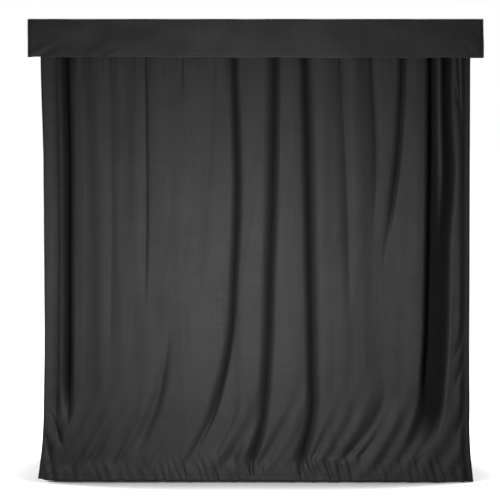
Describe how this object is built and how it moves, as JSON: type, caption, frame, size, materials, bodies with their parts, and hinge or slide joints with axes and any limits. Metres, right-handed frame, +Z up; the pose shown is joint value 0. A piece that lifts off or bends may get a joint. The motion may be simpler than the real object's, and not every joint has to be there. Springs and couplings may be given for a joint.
{
  "type": "photo booth",
  "caption": "Free-standing curtained photo booth: tube frame, gathered black drapes and valance, sliding entry curtain, photo machine and height-adjustable stool.",
  "frame": {"origin": "middle of the footprint, on the ground under the feet", "axes": "+Z up; +X from the machine's end to the sitter's end, along the booth's width; -Y is the front, with the entry curtain"},
  "size_m": [2.05, 1.34, 2.1],
  "materials": {
    "drape_cloth": "near-black matte polyester with a soft sheen",
    "valance_cloth": "near-black stiffened polyester",
    "hook_tape": "black hook-and-loop tape",
    "anodised_tube": "satin natural anodised",
    "coated_fitting": "black powder coat",
    "moulded_fitting": "black moulded nylon",
    "rod_steel": "brushed",
    "batten_plastic": "black, matte",
    "floor_board": "dark film-faced birch ply",
    "foot_rubber": "black",
    "mat_rubber": "charcoal, ribbed",
    "cabinet_laminate": "plywood with a charcoal laminate, fine texture",
    "bracket_metal": "black anodised",
    "fascia_plastic": "light grey satin",
    "lock_metal": "polished",
    "opal_plastic": "opal, satin",
    "window_glass": "clear",
    "camera_plastic": "black, fine grain",
    "display_plastic": "black glass-like front",
    "green_button": "green",
    "white_button": "white",
    "bezel_metal": "brushed",
    "red_button": "red",
    "clear_plastic": "smoked clear",
    "printer_plastic": "dark grey",
    "computer_case": "grey",
    "print_paper": "white paper",
    "stool_paint": "black powder coat",
    "stool_chrome": "polished",
    "cushion_vinyl": "black vinyl-coated cloth"
  },
  "bodies": {
    "root": {"base_rail_back": "anodised_tube", "base_rail_left": "anodised_tube", "base_rail_right": "anodised_tube", "camera_bracket": "bracket_metal", "camera_window": "window_glass", "coin_unit": "bezel_metal", "computer_unit": "computer_case", "corner_fittings": "moulded_fitting", "curtain_rod": "rod_steel", "display": "display_plastic", "drape_back": "drape_cloth", "drape_left": "drape_cloth", "drape_right": "drape_cloth", "floor_feet": "foot_rubber", "floor_mat": "mat_rubber", "floor_panel": "floor_board", "header_rail_back": "anodised_tube", "header_rail_front": "anodised_tube", "header_rail_left": "anodised_tube", "header_rail_right": "anodised_tube", "hook_tapes": "hook_tape", "kiosk_cabinet": "cabinet_laminate", "kiosk_fascia": "fascia_plastic", "light_diffusers": "opal_plastic", "power_inlet": "printer_plastic", "print_chute": "bezel_metal", "printer": "printer_plastic", "rod_brackets": "coated_fitting", "roof_cloth": "valance_cloth", "stool_base": "stool_paint", "stool_column": "stool_chrome", "upright_back_left": "anodised_tube", "upright_back_right": "anodised_tube", "upright_front_left": "anodised_tube", "upright_front_right": "anodised_tube", "upright_sockets": "coated_fitting", "valance_back": "valance_cloth", "valance_brackets": "coated_fitting", "valance_front": "valance_cloth", "valance_left": "valance_cloth", "valance_rails": "anodised_tube", "valance_right": "valance_cloth"},
    "curtain": {"front_curtain": "drape_cloth", "curtain_batten": "batten_plastic"},
    "service_door": {"service_door": "cabinet_laminate"},
    "door_lock": {"door_lock": "lock_metal"},
    "start_button": {"start_button": "green_button"},
    "left_button": {"left_button": "white_button"},
    "right_button": {"right_button": "white_button"},
    "coin_return_button": {"coin_return_button": "red_button"},
    "coin_flap": {"coin_flap": "bezel_metal"},
    "print_flap": {"print_flap": "clear_plastic"},
    "camera_head": {"camera": "camera_plastic", "camera_lens": "window_glass"},
    "paper_roll": {"paper_roll": "print_paper"},
    "power_switch": {"power_switch": "printer_plastic"},
    "stool_piston": {"stool_piston": "stool_chrome"},
    "stool_seat": {"seat_plate": "stool_paint", "seat_cushion": "cushion_vinyl"},
    "lift_lever": {"lift_lever": "stool_chrome"}
  },
  "joints": [
    {"name": "curtain_draw", "type": "slide", "parent": "root", "child": "curtain", "axis": [-1, 0, 0], "range_m": [0, 1.5], "deforming": ["front_curtain"]},
    {"name": "service_door_hinge", "type": "hinge", "parent": "root", "child": "service_door", "pos_m": [-0.873, -0.247, 0.24], "axis": [0, 0, -1], "range_deg": [0, 90]},
    {"name": "door_lock_turn", "type": "hinge", "parent": "service_door", "child": "door_lock", "pos_m": [-0.617, -0.256, 0.86], "axis": [0, -1, 0], "range_deg": [0, 90]},
    {"name": "start_press", "type": "slide", "parent": "root", "child": "start_button", "axis": [-1, 0, 0], "range_m": [0, 0.004], "stiffness_N_per_m": 300},
    {"name": "left_press", "type": "slide", "parent": "root", "child": "left_button", "axis": [-1, 0, 0], "range_m": [0, 0.004], "stiffness_N_per_m": 200},
    {"name": "right_press", "type": "slide", "parent": "root", "child": "right_button", "axis": [-1, 0, 0], "range_m": [0, 0.004], "stiffness_N_per_m": 200},
    {"name": "coin_return_press", "type": "slide", "parent": "root", "child": "coin_return_button", "axis": [-1, 0, 0], "range_m": [0, 0.005], "stiffness_N_per_m": 200},
    {"name": "coin_flap_swing", "type": "hinge", "parent": "root", "child": "coin_flap", "pos_m": [-0.483, -0.12, 0.724], "axis": [0, 1, 0], "range_deg": [0, 75]},
    {"name": "print_flap_swing", "type": "hinge", "parent": "root", "child": "print_flap", "pos_m": [-0.468, 0.095, 0.797], "axis": [0, -1, 0], "range_deg": [0, 80]},
    {"name": "camera_tilt", "type": "hinge", "parent": "root", "child": "camera_head", "pos_m": [-0.597, 0, 1.3], "axis": [0, -1, 0], "range_deg": [-10, 10]},
    {"name": "paper_feed", "type": "hinge", "parent": "root", "child": "paper_roll", "pos_m": [-0.69, 0.095, 0.927], "axis": [0, 1, 0], "continuous": true},
    {"name": "switch_rock", "type": "hinge", "parent": "root", "child": "power_switch", "pos_m": [-0.805, 0.239, 0.145], "axis": [-1, 0, 0], "range_deg": [0, 18]},
    {"name": "stool_lift", "type": "slide", "parent": "root", "child": "stool_piston", "axis": [0, 0, 1], "range_m": [0, 0.15]},
    {"name": "stool_swivel", "type": "hinge", "parent": "stool_piston", "child": "stool_seat", "pos_m": [0.5, 0, 0.4], "axis": [0, 0, 1], "continuous": true},
    {"name": "lever_pull", "type": "hinge", "parent": "stool_seat", "child": "lift_lever", "pos_m": [0.5, -0.06, 0.395], "axis": [-1, 0, 0], "range_deg": [0, 8], "stiffness_Nm_per_rad": 2}
  ]
}
